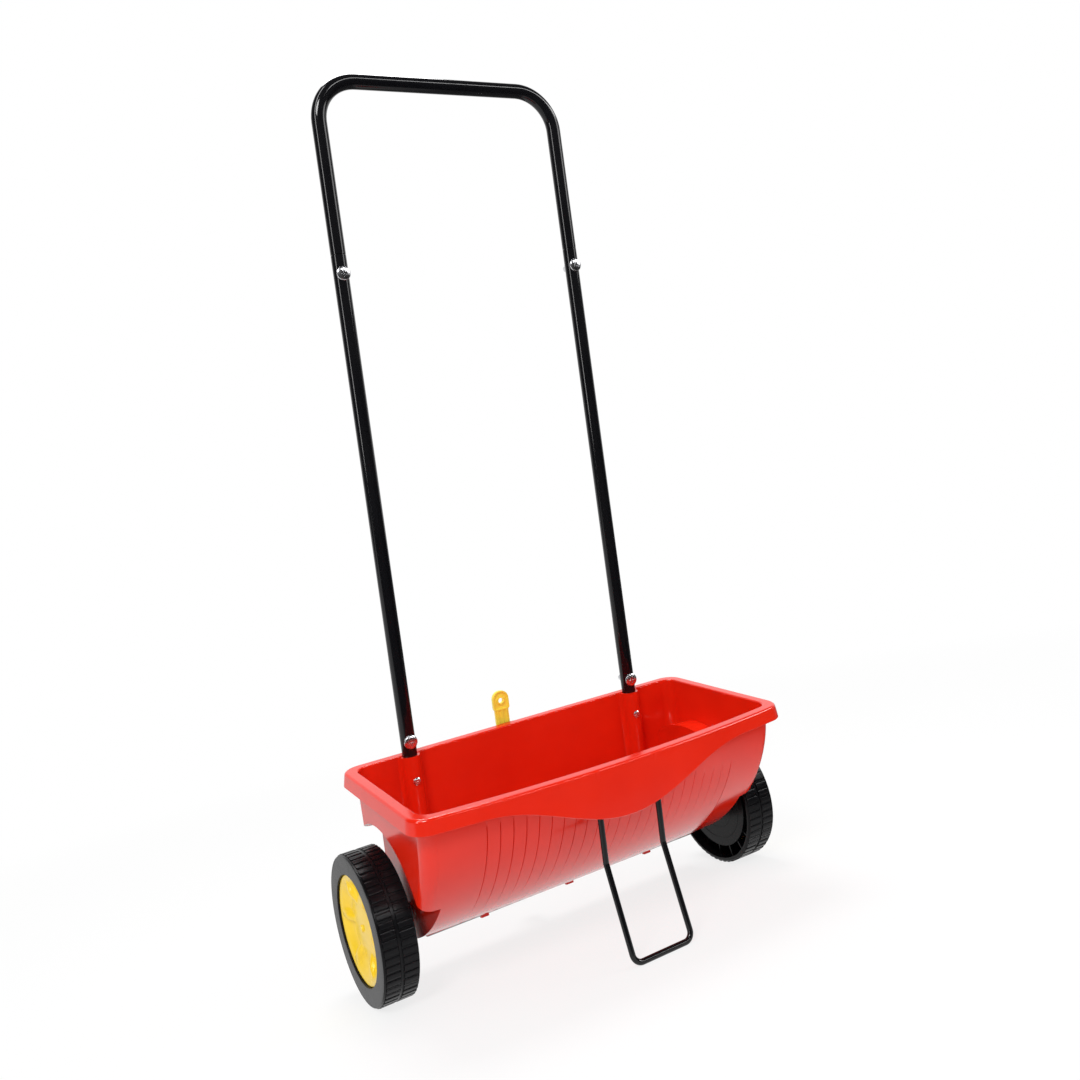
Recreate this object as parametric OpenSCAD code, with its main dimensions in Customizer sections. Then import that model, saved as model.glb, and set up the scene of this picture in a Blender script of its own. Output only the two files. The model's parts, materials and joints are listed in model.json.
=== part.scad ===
// Drop spreader for lawns: a moulded hopper on two wheels, pushed by a tall tube handle.
// It is drawn with the axle at the origin, X along the axle and the front towards -Y,
// and then tipped forward until the wheels and the front stand share one floor.

/* [Hopper] */
// Length of the rim
rim_length = 592; // [560:2:640]
// Height of the rim above the axle
rim_height = 190; // [180:1:205]
// Distance of the rim's back edge behind the axle
rim_back = 90; // [86:1:96]
// Distance of the rim's front corners ahead of the axle
rim_front = 185; // [175:1:200]
// How far the middle of the front bows out past its corners
front_bow = 24; // [12:1:30]
// How far the rim stands out past the walls
rim_overhang = 16; // [14:1:18]
// Outer corner radius of the rim
rim_corner = 26; // [22:1:32]
// Depth of the lip that hangs from the rim
lip_depth = 20; // [14:1:24]
// How far the lip flares outwards from its top to its edge
lip_flare = 3; // [1:0.5:5]
// Depth of the apron at the middle of the front
apron_depth = 70; // [50:1:80]
// Half length of the apron's curve
apron_half = 205; // [180:1:230]
// Wall thickness of the moulding
wall = 3; // [2.6:0.2:3.4]
// Depth of the lowest part of the floor under the axle
floor_drop = 47; // [45:1:52]
// Distance of that lowest part behind the axle
floor_back = 35; // [30:1:38]
// Depth below the rim at which the front wall starts to curve
curve_start = 25; // [22:1:30]
// Roundness of the front curve, 2 for an ellipse and 1 for a straight slope
curve_power = 1.6; // [1.5:0.05:1.8]
// Draft angle of both end walls
end_draft = 1.25; // [0.5:0.25:2]
// Radius of the wheel arches in both ends
arch_r = 127; // [122:1:130]

/* [Flutes] */
// Number of fluted bands on the front wall
flute_count = 22; // [10:2:24]
// Width of one band
flute_pitch = 18; // [14:0.5:18]
// Step between two bands
flute_step = 1.4; // [0.8:0.1:1.6]

/* [Wheels] */
// Outer radius of a wheel
wheel_r = 100; // [98:1:104]
// Width of a wheel
wheel_w = 50; // [46:1:58]
// Distance between the inner faces of the wheels
wheel_gauge = 552; // [544:1:560]
// Gap between a wheel and the arch's inner wall
wheel_gap = 28; // [24:0.5:31]
// Bars of the tread round one wheel
tread_bars = 56; // [30:2:60]
// Depth of the tread
tread_depth = 1.6; // [1:0.2:2.2]
// Radius of a hub cap
cap_r = 73; // [68:1:75]
// Ribs between the hub and the tread
wheel_ribs = 18; // [12:1:24]
// Diameter of the axle rod
axle_d = 10; // [8:0.5:11]
// Diameter of the drive pin
drive_pin_d = 4; // [3:0.5:5]

/* [Handle] */
// Outer diameter of the tubes
tube_d = 22; // [20:0.5:24]
// Wall thickness of the tubes
tube_wall = 1.2; // [1:0.1:1.6]
// Distance between the two legs, centre to centre
leg_spacing = 387; // [360:1:400]
// Distance of the legs behind the axle, at the rim
leg_back = 67.7; // [66:0.1:69]
// Backward lean of the legs
handle_lean = 1.2; // [0.5:0.1:2]
// Length from the rim to the centre of the top bar
handle_length = 972; // [850:2:1050]
// Length from the rim to the seam of the tubes
seam_height = 722; // [600:2:760]
// Radius of the bends, at the tube's centre
bend_r = 61; // [45:1:68]
// Depth that the legs reach into the hopper
leg_depth = 105; // [90:1:115]
// Height of the base bolts above the rim
base_bolt_height = 20; // [14:1:24]
// Distance of the joint bolts below the seam
joint_bolt_drop = 27; // [20:1:35]
// Distance of the socket screws below the rim
socket_screw_drop = 37; // [30:1:50]
// Thread diameter of the bolts
bolt_d = 6; // [5:0.5:6.5]

/* [Stand] */
// Diameter of the stand's wire
stand_d = 8; // [7:0.5:9]
// Distance between the stand's legs, centre to centre
stand_spacing = 92; // [80:1:110]
// Height of the stand's bend above the axle
stand_bend_height = 65; // [60:1:75]
// Length of the stand's leg below the bend
stand_leg = 126; // [118:1:130]
// Forward slope of the leg below the bend
stand_kick = 19; // [15:1:20]
// Radius of the stand's lower corners
stand_corner = 12; // [10:1:20]
// Depth of the sockets that hold the stand
stand_socket = 50; // [40:1:55]

/* [Lever] */
// Place of the lever along the axle
lever_x = -24; // [-40:1:40]
// Height of the lever's pivot above the axle
pivot_height = -26; // [-27:1:-22]
// Length of the lever above its pivot
lever_length = 263; // [250:1:280]
// Length from the pivot to the pin of the shutter
lever_crank = 32; // [31:0.5:35]
// Thickness of the lever
lever_t = 4; // [3:0.5:5]
// Width of the lever's head
head_w = 27; // [24:1:32]
// Height of the lever's head
head_h = 30; // [26:1:36]
// Diameter of the eye in the head
eye_d = 8.5; // [6:0.5:10]
// Swing of the lever from shut to open
lever_swing = 20; // [16:1:20]

/* [Outlets] */
// Number of outlets
outlet_count = 20; // [8:2:20]
// Distance between outlets
outlet_pitch = 22; // [20:1:22]
// Width of an outlet
outlet_w = 9; // [6:0.5:9]
// Length of an outlet, front to back
outlet_l = 14; // [10:1:16]
// Width of the shutter plate
shutter_w = 28; // [26:1:30]
// Thickness of the shutter plate
shutter_t = 1.5; // [1:0.1:2]
// Radius of the agitator's blades
agitator_r = 30; // [24:1:32]

/* [Hidden] */

$fn = 64;
eps = 0.01;
fit = 0.15;
loose = 0.3;

// Places along the axle
rim_half = rim_length / 2;
body_half = rim_half - rim_overhang;
wheel_in = wheel_gauge / 2;
arch_x = wheel_in - wheel_gap;
axle_r = axle_d / 2;

// Hopper section
body_back = rim_back - rim_overhang;
curve_z = rim_height - curve_start;
corner_tightening = 0.4;
section_steps = 11;
back_steps = 5;
lip_steps = 17;

// Outlets lie on a flat pad that follows the slope of the floor
outlet_y = 9;
pad_proud = 0.8;
pad_w = shutter_w + 4;
pad_length = outlet_pitch * outlet_count + 24;
shutter_gap = 0.2;
lever_travel = lever_crank * tan(lever_swing);
shutter_half = pad_length / 2 - 2;
shutter_shut = lever_travel;

// Tubes and their fixings
tube_r = tube_d / 2;
leg_x = leg_spacing / 2;
socket_r = tube_r + fit + wall;
socket_tail = 30;
screw_bore_r = 2.1;
screw_core_r = 1.85;
screw_head_r = 5.8;
bolt_r = bolt_d / 2;
swage_r = tube_r - tube_wall - fit;
swage_depth = 62;
swage_neck = 4;
seam_gap = 1.5;

// Stand
stand_r = stand_d / 2;
stand_x = stand_spacing / 2;
stand_y = -(rim_front + bow(stand_x)) + wall + stand_r + 2;
stand_cover = 8;
stand_top = rim_height - wall - stand_cover;
foot_y = stand_y - stand_leg * sin(stand_kick);
foot_z = stand_bend_height - stand_leg * cos(stand_kick);
park_tilt = asin((wheel_r - stand_r) / norm([foot_y, foot_z])) - atan2(-foot_z, -foot_y);

// Layers behind the hopper, from the lip to the lever
scale_y = rim_back + 1;
scale_t = 3;
screw_head_h = 2.2;
rib_h = 1.2;
lever_y = scale_y + scale_t + screw_head_h + rib_h + 0.6;
washer_t = 1;
pivot_head_h = 4;
pivot_boss_r = 8;
scale_boss_r = 4.5;
scale_bore_r = 1.75;
pivot_head_r = 7;
lever_foot_r = 9;

// Arm of the shutter
arm_t = 2;
arm_w = 16;
ear_y = lever_y - 1 - arm_t;
arm_pin_r = 2.5;
arm_pin_z = pivot_height - lever_crank;
slot_reach = lever_crank / cos(lever_swing) - lever_crank;

// Wheel layers, measured outwards from the wheel's inner face
tyre_t = 7;
bevel = 2;
web_t = 3.5;
hub_r = 14;
disc_u = 8;
seat_r = cap_r + 0.3;
seat_ledge = 1.5;
drum_r = seat_r + wall;
cap_recess = 3;
seat_u = wheel_w - cap_recess - 5;
hub_in = -(wheel_gap - 3.8);
hub_out = wheel_w - 21;
washer_r = 11;
washer_h = 1.3;
flange_h = 2;
push_cap_h = 4;
bush_r = 8;
bush_boss = 7;
clip_count = 4;
clip_u = disc_u + wall + 6;
clip_w = 7;
clip_h = 3;

// The tipped part is centred front to back between its foremost and rearmost edges
front_reach = (rim_front + front_bow) * cos(park_tilt) + rim_height * sin(park_tilt);
lever_back = lever_y + lever_t;
head_back = lever_back + washer_t + pivot_head_h;
foot_reach = lever_back * cos(park_tilt) - (arm_pin_z - lever_foot_r) * sin(park_tilt);
bolt_reach = head_back * cos(park_tilt) - (pivot_height - pivot_head_r) * sin(park_tilt);
back_reach = max(wheel_r, foot_reach, bolt_reach);
shift_y = (front_reach - back_reach) / 2;

// Bow of the front at a distance x from the middle
function bow(x) = front_bow * (1 - pow(x / rim_half, 2));

// Inward step of a rounded corner at x, for a side of the given half length
function corner_step(x, half, r) =
    abs(x) <= half - r ? 0 : r - sqrt(max(0, r * r - pow(abs(x) - half + r, 2)));

// Corner radius of an outline drawn inset from the rim's edge
function corner_r(inset) = rim_corner - corner_tightening * inset;

// Distances of the front and the back at x, for an outline inset from the rim's edge
function front_at(x, inset) =
    rim_front + bow(x) - inset - corner_step(x, rim_half - inset, corner_r(inset));
function back_at(x, inset) =
    rim_back - inset - corner_step(x, rim_half - inset, corner_r(inset));

// Places along X at which an outline has a point, closest together in its corners
function end_stations(half, r) = [for (a = [90:-18:18]) half - r + r * sin(a)];
function plain_stations(half, r) = [for (i = [-8:8]) (half - r) * i / 8];
function mirrored(list) = [for (i = [len(list) - 1:-1:0]) -list[i]];
function stations(half, r, middle) =
    concat([for (x = end_stations(half, r)) -x], middle, mirrored([for (x = end_stations(half, r)) -x]));

// Closed outline at a distance inside the rim's edge
function rim_outline(inset) =
    let (half = rim_half - inset, r = corner_r(inset), xs = stations(half, r, plain_stations(half, r)))
    concat([for (x = xs) [x, -front_at(x, inset)]],
        [for (i = [len(xs) - 1:-1:0]) [xs[i], back_at(xs[i], inset)]]);

// Fluted bands: each one rises evenly to its right-hand edge and then steps back
flute_half = flute_count * flute_pitch / 2;
flute_edge = 0.2;
function flute_depth(x) =
    abs(x) >= flute_half ? 0
    : let (t = (x + flute_half) / flute_pitch) flute_step * (1 - (t - floor(t)));
function flute_stations() =
    [for (k = [0:flute_count - 1]) for (x = [2 * flute_edge, flute_pitch - flute_edge])
        k * flute_pitch - flute_half + x];

// One cross-section of the tub at x: down the front curve, round the back corner and up
function tub_section(x, inset, top, groove) =
    let (
        a = front_at(x, inset) + floor_back - groove,
        b = curve_z + floor_drop - (inset - rim_overhang),
        back = back_at(x, inset) - floor_back,
        corner = body_back - floor_back - (inset - rim_overhang),
        power = 2 / curve_power
    )
    [for (p = concat([[floor_back - a, top]],
        [for (i = [0:section_steps]) let (t = 90 * i / section_steps)
            [floor_back - a * pow(cos(t), power), curve_z - b * pow(sin(t), power)]],
        [for (i = [1:back_steps]) let (t = 90 * i / back_steps)
            [floor_back + back * sin(t), curve_z - b + corner * (1 - cos(t))]],
        [[floor_back + back, top]])) [drafted(x, p[1]), p[0], p[1]]];

// Both ends lean inwards below the rim
function drafted(x, z) = x * (1 - tan(end_draft) * (rim_height - z) / body_half);

// Solid through a row of cross-sections with the same number of points
module loft(rows) {
    m = len(rows[0]);
    n = len(rows);
    sides = [for (i = [0:n - 2]) for (j = [0:m - 1])
        let (k = (j + 1) % m)
        each [[i * m + j, (i + 1) * m + j, (i + 1) * m + k], [i * m + j, (i + 1) * m + k, i * m + k]]];
    first = [for (j = [0:m - 1]) j];
    last = [for (j = [m - 1:-1:0]) (n - 1) * m + j];
    polyhedron([for (row = rows) each row], concat(sides, [first, last]));
}

module tub(inset, top, fluted) {
    half = rim_half - inset;
    r = corner_r(inset);
    edge = half - r;
    middle = fluted
        ? concat([-edge, -flute_half - flute_edge], flute_stations(), [flute_half + flute_edge, edge])
        : plain_stations(half, r);
    xs = stations(half, r, middle);
    loft([for (x = xs) tub_section(x, inset, top, fluted ? flute_depth(x) : 0)]);
}

// Everything is placed through this frame: tipped onto the stand and set on the floor
module parked() {
    translate([0, shift_y, wheel_r]) rotate([park_tilt, 0, 0]) children();
}

// Frame of one leg, with its origin on the rim and Z along the tube
module leg_frame(side) {
    translate([side * leg_x, leg_back, rim_height]) rotate([-handle_lean, 0, 0]) children();
}

// Frame of one wheel, with Z outwards along the axle from the wheel's inner face
module wheel_frame(side) {
    mirror([side < 0 ? 1 : 0, 0, 0]) translate([wheel_in, 0, 0]) rotate([0, 90, 0]) children();
}

// Frame of the outlets: Y down the slope of the floor and Z out of it
floor_a = front_at(0, rim_overhang) + floor_back;
floor_b = curve_z + floor_drop;
function floor_z(y) =
    curve_z - floor_b * pow(1 - pow((floor_back - y) / floor_a, curve_power), 1 / curve_power);
outlet_slope = atan2(floor_z(outlet_y - 8) - floor_z(outlet_y + 8), 16);
module outlet_frame() {
    translate([0, outlet_y, floor_z(outlet_y)]) rotate([-outlet_slope, 0, 0]) mirror([0, 0, 1]) children();
}

// A rod or hole along Y, from y0 to y1
module along_y(r, y0, y1) {
    translate([0, y0, 0]) rotate([-90, 0, 0]) cylinder(r = r, h = y1 - y0);
}

module hopper() {
    color("red") parked() difference() {
        union() {
            difference() {
                tub(rim_overhang, rim_height - wall / 2, true);
                wheel_arches(arch_x, arch_r);
                difference() {
                    tub(rim_overhang + wall, rim_height + 1, false);
                    wheel_arches(arch_x - wall, arch_r + wall);
                }
            }
            rim();
            for (side = [-1, 1]) {
                leg_socket(side);
                stand_holder(side);
                mirror([side < 0 ? 1 : 0, 0, 0]) translate([arch_x - bush_boss, 0, 0])
                    rotate([0, 90, 0]) cylinder(r = bush_r + wall + 1, h = bush_boss - eps);
            }
            scale_bosses();
            translate([lever_x, 0, pivot_height]) along_y(pivot_boss_r, body_back - wall - 4, lever_y - 0.4);
            outlet_frame() translate([-pad_length / 2, -pad_w / 2, -wall])
                cube([pad_length, pad_w, wall + pad_proud]);
            shutter_guides();
        }
        for (side = [-1, 1]) {
            leg_frame(side) {
                translate([0, 0, -leg_depth]) cylinder(r = tube_r + fit, h = leg_depth + 10);
                translate([0, 0, -socket_screw_drop]) along_y(screw_bore_r, -socket_r - 1, 0);
            }
            translate([side * stand_x, stand_y, 0]) cylinder(r = stand_r + fit, h = stand_top + 1);
        }
        translate([-arch_x - 1, 0, 0]) rotate([0, 90, 0]) cylinder(r = bush_r, h = 2 * arch_x + 2);
        scale_holes(body_back - 1);
        translate([lever_x, 0, pivot_height]) along_y(bolt_r, body_back + 4, lever_y);
        outlet_frame() outlet_row(-wall - 6, pad_proud + 1, outlet_w, 0);
    }
}

// Discs that cut the wheel arches into both ends
module wheel_arches(x, r) {
    for (side = [-1, 1]) mirror([side < 0 ? 1 : 0, 0, 0]) translate([x, 0, 0])
        rotate([0, 90, 0]) cylinder(r = r, h = body_half - x + 20);
}

// The lip hangs lower at the front in one long S-curve on each side of the middle
function apron_drop(x) =
    lip_depth + (apron_depth - lip_depth) * (1 + cos(180 * min(abs(x) / apron_half, 1))) / 2;

// The rim is a flat ledge round the top of the walls, with a lip round its edge
rim_bead = 0.4;
lip_bite = 0.8;
module rim() {
    translate([0, 0, rim_height - wall]) linear_extrude(wall) difference() {
        polygon(rim_outline(lip_flare + lip_bite));
        polygon(rim_outline(rim_overhang + wall + rim_bead));
    }
    lip();
}

// Lip: one flared section carried round the ledge, deeper at the front for the apron
function lip_section(drop) = [
    [lip_flare, rim_height - rim_bead], [0, rim_height - drop], [wall, rim_height - drop],
    [lip_flare + wall, rim_height - rim_bead]];
function outline_point(s, inset) =
    let (half = rim_half - inset, r = corner_r(inset), x = s[0] * (half - r + r * sin(s[1])),
        side = s[2] < 0 ? -front_at(x, inset) : back_at(x, inset))
    [x, side];
function lip_stations(way) = concat(
    [for (a = [90, 81, 63, 45, 27, 9]) [-1, a, way]],
    [for (i = [-lip_steps:lip_steps - 1]) [(i + 0.5) / lip_steps, 0, way]],
    [for (a = [9, 27, 45, 63, 81, 90]) [1, a, way]]);
function reversed(list) = [for (i = [len(list) - 1:-1:0]) list[i]];
module lip() {
    around = concat(lip_stations(-1), reversed(lip_stations(1)));
    rows = [for (s = around)
        let (drop = s[2] < 0 ? apron_drop(outline_point(s, 0)[0]) : lip_depth)
        [for (p = lip_section(drop)) let (q = outline_point(s, p[0])) [q[0], q[1], p[1]]]];
    n = len(rows);
    m = len(rows[0]);
    polyhedron([for (row = rows) each row], [for (i = [0:n - 1]) for (j = [0:m - 1])
        let (h = (i + 1) % n, k = (j + 1) % m)
        each [[i * m + j, h * m + k, i * m + k], [i * m + j, h * m + j, h * m + k]]]);
}

// Closed tube pocket in the back wall, half inside the hopper and half behind it
module leg_socket(side) {
    $fn = 32;
    leg_frame(side) translate([0, 0, -leg_depth - socket_tail]) {
        cylinder(r = socket_r, h = leg_depth + socket_tail - wall / 2);
        sphere(r = socket_r);
    }
}

// Drilled post behind the apron that the stand's leg is pushed into
module stand_holder(side) {
    $fn = 32;
    post_r = stand_r + fit + 2.8;
    post_h = stand_socket + stand_cover + wall / 2;
    web_low = 12;
    web_reach = -front_at(stand_x, rim_overhang + wall / 2) - stand_y;
    translate([side * stand_x, stand_y, stand_top - stand_socket]) cylinder(r = post_r, h = post_h);
    translate([side * stand_x - wall, stand_y, stand_top - stand_socket + web_low])
        cube([2 * wall, web_reach, post_h - web_low - 0.2]);
}

// The scale is a band round the lever's pivot
scale_r1 = rim_height - pivot_height - 2.5;
scale_r0 = scale_r1 - 30;
scale_a0 = -15;
scale_a1 = 23;
scale_screw_r = scale_r0 + 5;
scale_screw_angles = [-12, 13];

module scale_bosses() {
    for (a = scale_screw_angles) scale_point(a) along_y(scale_boss_r, body_back - 1, scale_y);
}
module scale_holes(y0) {
    for (a = scale_screw_angles) scale_point(a) along_y(scale_bore_r, y0, scale_y + scale_t + 1);
}
module scale_point(a) {
    translate([lever_x + scale_screw_r * sin(a), 0, pivot_height + scale_screw_r * cos(a)]) children();
}

// Hooked lugs under the floor that carry the shutter at both edges
lug_xs = [-142, 0, 142];
lug_w = 12;
lug_t = 3;
module shutter_guides() {
    gap = shutter_t + 2 * shutter_gap;
    for (x = lug_xs) for (s = [-1, 1]) outlet_frame() mirror([0, s < 0 ? 1 : 0, 0]) {
        translate([x - lug_w / 2, shutter_w / 2 + loose, -wall])
            cube([lug_w, lug_t, wall + pad_proud + gap + 2]);
        translate([x - lug_w / 2, shutter_w / 2 - 3, pad_proud + gap]) cube([lug_w, 3 + loose + lug_t, 2]);
    }
}

// A row of outlets between two depths, shifted along X
module outlet_row(z0, z1, w, shift) {
    for (i = [0:outlet_count - 1])
        translate([(i - (outlet_count - 1) / 2) * outlet_pitch - w / 2 + shift, -outlet_l / 2, z0])
            cube([w, outlet_l, z1 - z0]);
}

module bush(side) {
    color("dimgray") parked() mirror([side < 0 ? 1 : 0, 0, 0]) translate([arch_x, 0, 0]) rotate([0, 90, 0])
        difference() {
            union() {
                translate([0, 0, -bush_boss - 2]) cylinder(r = bush_r - 0.05, h = bush_boss + 2 + flange_h);
                cylinder(r = bush_r + 4, h = flange_h);
            }
            translate([0, 0, -bush_boss - 3]) cylinder(r = axle_r + 0.1, h = bush_boss + flange_h + 4);
        }
}

// Lower tube of one leg, open at the top where the upper handle slides in
module lower_tube(side) {
    color("black") parked() leg_frame(side) difference() {
        translate([0, 0, -leg_depth]) linear_extrude(seam_height + leg_depth) tube_ring(tube_r);
        translate([0, 0, base_bolt_height]) along_y(bolt_r + fit, -tube_d, tube_d);
        translate([0, 0, seam_height - joint_bolt_drop]) along_y(bolt_r + fit, -tube_d, tube_d);
        translate([0, 0, -socket_screw_drop]) along_y(screw_core_r + 0.05, -tube_d, 0);
    }
}

module tube_ring(r) {
    difference() {
        circle(r = r);
        circle(r = r - tube_wall);
    }
}

// Upper handle: one tube bent twice, with both ends drawn down to fit inside the lower tubes
module upper_handle() {
    straight = handle_length - bend_r - seam_height;
    color("black") parked() {
        for (side = [-1, 1]) leg_frame(side) difference() {
            union() {
                translate([0, 0, seam_height + seam_gap])
                    linear_extrude(straight - seam_gap) tube_ring(tube_r);
                translate([0, 0, seam_height - swage_depth])
                    linear_extrude(swage_depth + swage_neck) tube_ring(swage_r);
                translate([0, 0, seam_height + seam_gap])
                    linear_extrude(swage_neck - seam_gap) difference() {
                        circle(r = tube_r - tube_wall / 2);
                        circle(r = swage_r - tube_wall);
                    }
            }
            translate([0, 0, seam_height - joint_bolt_drop]) along_y(bolt_r + fit, -tube_d, tube_d);
        }
        for (side = [-1, 1]) leg_frame(side) mirror([side < 0 ? 1 : 0, 0, 0])
            translate([-bend_r, 0, handle_length - bend_r]) rotate([90, 0, 0])
            rotate_extrude(angle = 90) translate([bend_r, 0]) tube_ring(tube_r);
        leg_frame(-1) translate([bend_r, 0, handle_length]) rotate([0, 90, 0])
            linear_extrude(leg_spacing - 2 * bend_r) tube_ring(tube_r);
    }
}

// Truss-head bolt across a tube, with its head at the front
module cross_bolt() {
    head_r = 10.2;
    head_h = 4;
    along_y(bolt_r, -tube_r - 1, tube_r + 9);
    difference() {
        translate([0, -tube_r - 0.2, 0]) rotate([90, 0, 0]) rotate_extrude()
            polygon([[0, 0], [head_r, 0],
                for (a = [0:15:90]) [head_r * cos(a), 0.8 + (head_h - 0.8) * sin(a)]]);
        for (a = [0, 90]) translate([0, -tube_r - head_h - 0.2, 0]) rotate([0, a, 0])
            cube([9, 3.2, 1.8], center = true);
    }
}

// Domed nut on the far side of a tube
module dome_nut() {
    nut_r = 5.8;
    difference() {
        union() {
            translate([0, tube_r + 0.2, 0]) rotate([-90, 0, 0]) cylinder(r = nut_r, h = 5.2, $fn = 6);
            translate([0, tube_r + 5.2, 0]) rotate([-90, 0, 0]) rotate_extrude()
                polygon([[0, 0], [4.8, 0], for (a = [0:18:90]) [4.8 * cos(a), 1.6 + 4.8 * sin(a)]]);
        }
        along_y(bolt_r, 0, tube_r + 9.2);
    }
}

module at_bolts(height) {
    for (side = [-1, 1]) leg_frame(side) translate([0, 0, height]) children();
}

module joint_bolts() {
    color("silver") parked() at_bolts(seam_height - joint_bolt_drop) cross_bolt();
}
module joint_nuts() {
    color("silver") parked() at_bolts(seam_height - joint_bolt_drop) dome_nut();
}
module base_bolts() {
    color("silver") parked() at_bolts(base_bolt_height) cross_bolt();
}
module base_nuts() {
    color("silver") parked() at_bolts(base_bolt_height) dome_nut();
}

// Small screws driven from inside the hopper through the sockets into the tubes
module socket_screws() {
    color("silver") parked() at_bolts(-socket_screw_drop) {
        along_y(screw_core_r, -socket_r - 0.2, -tube_r + 6);
        difference() {
            translate([0, -socket_r - 0.1, 0]) rotate([90, 0, 0]) rotate_extrude()
                polygon([[0, 0], [screw_head_r, 0],
                    for (a = [0:18:90]) [screw_head_r * cos(a), 0.4 + 2.2 * sin(a)]]);
            for (a = [0, 90]) translate([0, -socket_r - 2.7, 0]) rotate([0, a, 0])
                cube([5.6, 1.8, 1.2], center = true);
        }
    }
}

// Stand: one wire, straight in its sockets, kicked forward below and joined by a round-cornered bar
module stand() {
    color("black") parked() {
        for (side = [-1, 1]) {
            translate([side * stand_x, stand_y, stand_bend_height]) {
                cylinder(r = stand_r, h = stand_top - stand_bend_height);
                sphere(r = stand_r);
            }
        }
        translate([0, stand_y, stand_bend_height]) rotate([-stand_kick, 0, 0]) {
            for (side = [-1, 1]) mirror([side < 0 ? 1 : 0, 0, 0]) {
                translate([stand_x, 0, -stand_leg + stand_corner])
                    cylinder(r = stand_r, h = stand_leg - stand_corner);
                translate([stand_x - stand_corner, 0, -stand_leg + stand_corner]) rotate([90, 0, 0])
                    rotate_extrude(angle = -90) translate([stand_corner, 0]) circle(r = stand_r);
            }
            translate([-stand_x + stand_corner, 0, -stand_leg]) rotate([0, 90, 0])
                cylinder(r = stand_r, h = stand_spacing - 2 * stand_corner);
        }
    }
}

module scale_plate() {
    color("firebrick") parked() difference() {
        translate([lever_x, scale_y + scale_t, pivot_height]) rotate([90, 0, 0]) linear_extrude(scale_t)
            polygon(concat(
                [for (i = [0:12]) scale_r1 * unit(scale_a0 + (scale_a1 - scale_a0) * i / 12)],
                [for (i = [12:-1:0]) scale_r0 * unit(scale_a0 + (scale_a1 - scale_a0) * i / 12)]));
        scale_holes(scale_y - 1);
    }
}
function unit(a) = [sin(a), cos(a)];

module scale_screws() {
    color("silver") parked() for (a = scale_screw_angles) scale_point(a) {
        along_y(scale_bore_r - 0.05, body_back + 2, scale_y + scale_t + 0.2);
        along_y(3.6, scale_y + scale_t + 0.05, scale_y + scale_t + screw_head_h);
    }
}

// Shoulder bolt of the lever, screwed into the hopper's boss
module pivot_bolt() {
    color("silver") parked() translate([lever_x, 0, pivot_height]) {
        along_y(bolt_r - 0.05, body_back + 5, lever_back + washer_t + 0.1);
        difference() {
            along_y(pivot_head_r, lever_back + washer_t, head_back);
            for (a = [0, 90]) translate([0, head_back, 0]) rotate([0, a, 0])
                cube([7, 3, 1.4], center = true);
        }
    }
}

module spring_washer() {
    color("dimgray") parked() translate([lever_x, 0, pivot_height]) difference() {
        along_y(bolt_r + 3.5, lever_back + 0.1, lever_back + washer_t - 0.05);
        along_y(bolt_r + 0.1, lever_back, lever_back + washer_t + 1);
    }
}

// Lever: a flat bar with a round foot, ribs on its neck and a bordered head with an eye
module lever() {
    neck_w = 23;
    neck_foot = 40;
    rib_foot = neck_foot + 5;
    shoulder = lever_length - head_h;
    color("gold") parked() translate([lever_x, lever_back, pivot_height]) rotate([90, 0, 0]) difference() {
        union() {
            linear_extrude(lever_t) {
                translate([0, -lever_crank]) circle(r = lever_foot_r);
                circle(r = 12);
                polygon([[-lever_foot_r, -lever_crank], [lever_foot_r, -lever_crank], [12, 0],
                    [neck_w / 2, neck_foot], [neck_w / 2, shoulder], [-neck_w / 2, shoulder],
                    [-neck_w / 2, neck_foot], [-12, 0]]);
                lever_head(0);
            }
            translate([0, 0, lever_t]) linear_extrude(rib_h) {
                difference() {
                    lever_head(0);
                    lever_head(2.5);
                }
                for (side = [-1, 0, 1]) translate([side * (neck_w / 2 - 4) - 1.2, rib_foot])
                    square([2.4, shoulder - rib_foot]);
                translate([0, eye_z()]) circle(r = eye_d / 2 + 2.4);
            }
        }
        translate([0, 0, -1]) cylinder(r = bolt_r + 0.03, h = lever_t + 4);
        translate([0, eye_z(), -1]) cylinder(r = eye_d / 2, h = lever_t + 4);
        translate([0, -lever_crank, -1]) linear_extrude(lever_t + 4) pin_slot(arm_pin_r + 0.35);
    }
}
function eye_z() = lever_length - head_h / 2;

// Slot for the shutter's pin, which moves away from the pivot as the lever swings
module pin_slot(r) {
    for (z = [-slot_reach - 0.5, 0.5]) translate([0, z]) circle(r = r);
    translate([-r, -slot_reach - 0.5]) square([2 * r, slot_reach + 1]);
}

// Outline of the head, drawn in by a distance: nearly round above, small corners below
function head_corner(x, z, r, start) = [for (a = [start:15:start + 90]) [x + r * cos(a), z + r * sin(a)]];
module lever_head(inset) {
    half = head_w / 2 - inset;
    low = lever_length - head_h + inset;
    high = lever_length - inset;
    top_r = half - 1;
    low_r = 4 - inset;
    polygon(concat(head_corner(half - top_r, high - top_r, top_r, 0),
        head_corner(top_r - half, high - top_r, top_r, 90),
        head_corner(low_r - half, low + low_r, low_r, 180),
        head_corner(half - low_r, low + low_r, low_r, 270)));
}

// Shutter: a thin plate with the same row of outlets, shut when they lie between the hopper's
shutter_z = pad_proud + shutter_gap;
module shutter() {
    color("lightgray") parked() outlet_frame() difference() {
        translate([-shutter_half, -shutter_w / 2, shutter_z]) cube([2 * shutter_half, shutter_w, shutter_t]);
        outlet_row(shutter_z - 1, shutter_z + shutter_t + 1, outlet_w, shutter_shut);
        for (x = rivet_xs) translate([x, rivet_y, shutter_z - 1]) cylinder(r = rivet_r, h = shutter_t + 2);
    }
}

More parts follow.
